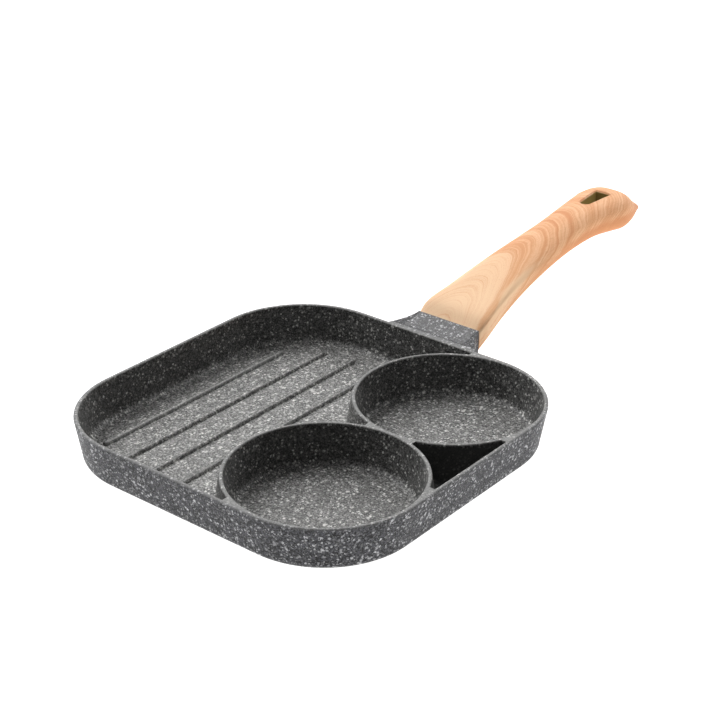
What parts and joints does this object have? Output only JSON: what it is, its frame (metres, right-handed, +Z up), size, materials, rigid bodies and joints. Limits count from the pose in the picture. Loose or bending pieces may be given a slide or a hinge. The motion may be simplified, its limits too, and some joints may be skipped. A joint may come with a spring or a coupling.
{
  "type": "divided omelette pan",
  "caption": "Square cast pan with a ridged grill zone, round egg cups and a small side pocket, a dark speckled non-stick coating and an arched wooden handle with a hanging hole.",
  "frame": {"origin": "centre of the flat base the pan stands on", "axes": "+Y along the handle, away from the pan; +X towards the side with the egg cups; +Z up"},
  "size_m": [0.185, 0.3855, 0.0525],
  "materials": {
    "stone_coating": "matte dark grey stone-effect non-stick coating with pale speckles, on cast aluminium",
    "wood": "smooth satin lacquer over light wood with arched grain",
    "steel": "satin"
  },
  "bodies": {
    "root": {"pan_body": "stone_coating", "handle": "wood", "handle_screw": "steel", "lock_washer": "steel"}
  },
  "joints": []
}
